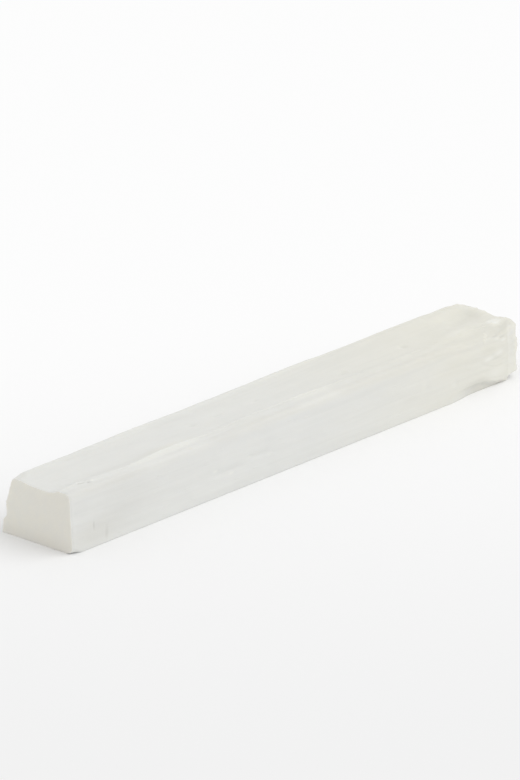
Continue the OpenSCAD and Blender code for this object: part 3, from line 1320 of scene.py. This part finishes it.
@dataclass(frozen=True)
class SawnFinish(Gypsum):
    """The sawn end: chalky, with the blade's faint arcs across it.

    Attributes:
        chalk: Colour of the ground surface.
        foot: Colour that it turns towards its foot and over its front half.
        mottle_grain: Cloudy patches per metre, along each axis.
        dust_grain: Grains per metre, along each axis.
        blade: Middle of the blade's arcs, in metres.
        foot_heights: Heights in metres between which it turns darker towards the bottom.
        front_half: Places across the bar between which the front half darkens, in metres.
        bump: Height of one unit of the bump, in metres.
    """

    chalk: Colour = (0.818, 0.802, 0.728)
    foot: Colour = (0.7, 0.67, 0.62)
    mottle_grain: Triple = (300, 300, 300)
    dust_grain: Triple = (2600, 2600, 2600)
    blade: Triple = (0.0, -0.06, -0.05)
    foot_heights: Range = (0.006, 0.0)
    front_half: Range = (0.012, -0.014)
    bump: float = 0.00004

    def build(self) -> bpy.types.Material:
        """Dress the sawn end.

        Returns:
            The material.
        """
        g = Graph(bpy.data.materials.new("sawn_gypsum"))
        mottle = g.noise(self.mottle_grain, 4.0, 0.6)
        grain = g.noise(self.dust_grain, 2.0)
        from_blade = g.node(
            "ShaderNodeVectorMath", {"operation": "SUBTRACT"}, {0: g.place, 1: self.blade}
        )
        arcs = g.node(
            "ShaderNodeTexWave",
            {"wave_type": "RINGS", "rings_direction": "X", "wave_profile": "SIN"},
            {
                "Vector": from_blade,
                "Scale": 260.0,
                "Distortion": 2.5,
                "Detail": 2.0,
                "Detail Scale": 1.4,
            },
            "Fac",
        )
        colour = g.blend(mottle.step(0.35, 0.7) * 0.25, self.chalk, self.body)
        # Darker towards the bottom and over the front half.
        darker_share = g.place.axis("Z").step(*self.foot_heights) * 0.32
        darker_share = darker_share + g.place.axis("Y").step(*self.front_half) * 0.2
        colour = g.blend(darker_share, colour, self.foot)
        colour = g.darkened(colour, 1.0 - 0.03 * grain)
        normal = g.bump(0.6 * grain + 0.2 * arcs + mottle, self.bump)
        return self.material(g, colour, 0.62 + 0.12 * grain, normal)


@dataclass(frozen=True)
class BrokenFinish(Gypsum):
    """The broken end: splintered, with light caught in every snapped fibre.

    Attributes:
        spark: Colour of the fibres' fresh tips.
        tip_grain: Snapped fibre tips per metre, along the fibres and twice across them.
        mottle_grain: Cloudy patches per metre, in the same way.
        bump: Height of one unit of the bump, in metres.
    """

    spark: Colour = (0.86, 0.86, 0.82)
    tip_grain: Triple = (500, 2100, 2100)
    mottle_grain: Triple = (180, 420, 420)
    bump: float = 0.00015

    def build(self) -> bpy.types.Material:
        """Dress the broken end.

        Returns:
            The material.
        """
        g = Graph(bpy.data.materials.new("broken_gypsum"))
        tips = g.node(
            "ShaderNodeTexVoronoi",
            {"feature": "F1"},
            {"Vector": g.place.stretched(self.tip_grain), "Scale": 1.0},
            "Distance",
        )
        mottle = g.noise(self.mottle_grain, 4.0, 0.6)
        colour = g.blend(mottle.step(0.4, 0.7), self.warm, self.spark)
        colour = g.darkened(colour, 1.0 - 0.1 * tips)
        normal = g.bump(tips + mottle, self.bump)
        return self.material(g, colour, 0.5 + 0.15 * mottle, normal)


@dataclass(frozen=True)
class PaperFinish:
    """The floor: matt white paper, a little greyer in front of the bar than behind it, as painted
    shade.

    Attributes:
        paper: Its colour behind the bar.
        near_paper: Its colour in front of the bar, greyed as painted shade.
        towards: Direction along the floor in which it turns lighter.
        turning: Places along that direction where it starts to and has turned, in metres.
        tooth_grain: Bumps of the paper per metre, along each axis.
    """

    paper: Colour = (0.96, 0.96, 0.96)
    near_paper: Colour = (0.87, 0.87, 0.87)
    towards: Triple = (0.72, 0.69, 0.0)
    turning: Range = (-0.25, 0.13)
    tooth_grain: Triple = (900, 900, 900)

    def build(self) -> bpy.types.Material:
        """Dress the floor.

        Returns:
            The material.
        """
        g = Graph(bpy.data.materials.new("white_paper"))
        tooth = g.noise(self.tooth_grain, 2.0)
        reach = g.node(
            "ShaderNodeVectorMath",
            {"operation": "DOT_PRODUCT"},
            {0: g.place, 1: self.towards},
            "Value",
        )
        shader = g.node(
            "ShaderNodeBsdfPrincipled",
            {},
            {
                # Painted shade: the paper greys towards the front of the bar.
                "Base Color": g.blend(reach.step(*self.turning), self.near_paper, self.paper),
                "Roughness": 0.9 + 0.05 * tooth,
                "Specular IOR Level": 0.0,
            },
            "BSDF",
        )
        return g.end("ShaderNodeOutputMaterial", shader)


# ---------------------------------------------------------------- the stick and its studio


def placed(name: str, data: Any) -> bpy.types.Object:
    """Put a new object in the scene.

    Args:
        name: Its name.
        data: Its mesh, lamp or camera.

    Returns:
        The object.
    """
    made = bpy.data.objects.new(name, data)
    bpy.context.scene.collection.objects.link(made)
    return made


@dataclass
class SeleniteStick:
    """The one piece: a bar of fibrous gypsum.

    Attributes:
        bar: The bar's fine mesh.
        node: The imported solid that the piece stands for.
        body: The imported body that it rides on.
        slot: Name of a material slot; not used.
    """

    bar: FineBar = FineBar()
    node: str = "selenite_stick"
    body: str = "root"
    slot: str = "satin_gypsum"

    def build(self) -> bpy.types.Object:
        """Build the stick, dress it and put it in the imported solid's place.

        Returns:
            The stick's object.
        """
        data, triangles = self.bar.mesh()
        for finish in (CleavedFinish(), SawnFinish(), BrokenFinish()):
            data.materials.append(finish.build())
        stick = placed("fibrous_bar", data)
        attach(stick, self.body)
        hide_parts(self.node)
        LOG.info("%s: %d triangles, size %s mm", stick.name, triangles, [
            round(side / MM, 1) for side in stick.dimensions
        ])
        return stick


@dataclass(frozen=True)
class Studio:
    """The white room: a paper floor, even light and one soft lamp.

    Attributes:
        floor_size: Side of the floor, in metres.
        sky: Strength of the even white light from all round.
        sun: Strength of the one soft lamp.
        sun_from: Direction that the lamp shines from.
        sun_spread: Angle that the lamp covers, in degrees, which softens the shadow.
    """

    floor_size: float = 30.0
    sky: float = 0.815
    sun: float = 0.9
    sun_from: Triple = (0.5, -0.6, 0.8)
    sun_spread: float = 50.0

    def floor(self) -> bpy.types.Object:
        """Lay the floor that the bar rests on.

        Returns:
            The floor.
        """
        half = self.floor_size / 2
        corners = [(-half, -half, 0), (half, -half, 0), (half, half, 0), (-half, half, 0)]
        data = bpy.data.meshes.new("paper_floor")
        data.from_pydata(corners, [], [(0, 1, 2, 3)])
        data.materials.append(PaperFinish().build())
        floor = placed("paper_floor", data)
        LOG.info("%s: %.0f m square", floor.name, self.floor_size)
        return floor

    def light(self) -> None:
        """Set the even light from all round, and one soft lamp."""
        g = Graph(bpy.data.worlds.new("white_room"))
        by_camera = g.node("ShaderNodeLightPath", {}, {}, "Is Camera Ray")
        by_gloss = g.node("ShaderNodeLightPath", {}, {}, "Is Glossy Ray")
        strength = self.sky + (1.0 - self.sky) * by_camera.either(by_gloss)
        glow = g.node("ShaderNodeBackground", {}, {"Color": WHITE, "Strength": strength})
        bpy.context.scene.world = g.end("ShaderNodeOutputWorld", glow)
        lamp = bpy.data.lights.new("soft_lamp", "SUN")
        lamp.energy = self.sun
        lamp.angle = math.radians(self.sun_spread)
        shine = placed("soft_lamp", lamp)
        shine.visible_glossy = False
        shine.rotation_euler = Vector(self.sun_from).to_track_quat("Z", "Y").to_euler()
        LOG.info("light: sky %.2f, lamp %.2f", self.sky, self.sun)


@dataclass(frozen=True)
class ProductCamera:
    """A long lens that looks down along the bar from beyond its sawn end.

    Attributes:
        azimuth: Angle round the bar in degrees, where 0 looks along +Y.
        elevation: Angle above the horizon in degrees.
        distance: Distance to the target, in metres.
        lens: Focal length in millimetres, on a sensor 36 mm long.
        target: Point in the middle of the frame, in metres.
    """

    azimuth: float = -46.32
    elevation: float = 21.5
    distance: float = 1.6
    lens: float = 233.24
    target: Triple = (0.01716, 0.02093, 0.010)

    def build(self) -> bpy.types.Object:
        """Make the scene's camera.

        Returns:
            The camera.
        """
        turn, rise = math.radians(self.azimuth), math.radians(self.elevation)
        back = Vector((
            math.sin(turn) * math.cos(rise), -math.cos(turn) * math.cos(rise), math.sin(rise)
        ))
        data = bpy.data.cameras.new("product_camera")
        data.lens = self.lens
        data.sensor_width = 36.0
        camera = placed("product_camera", data)
        camera.location = Vector(self.target) + back * self.distance
        camera.rotation_euler = back.to_track_quat("Z", "Y").to_euler()
        bpy.context.scene.camera = camera
        LOG.info("camera: %.0f mm lens at %.1f m", self.lens, self.distance)
        return camera


def main() -> None:
    """Build the camera, the studio and the stick."""
    logging.basicConfig(level=logging.INFO, format="%(name)s %(message)s")
    bpy.context.scene.view_settings.view_transform = "Standard"
    ProductCamera().build()
    studio = Studio()
    studio.floor()
    studio.light()
    SeleniteStick().build()


if __name__ == "__main__":
    main()
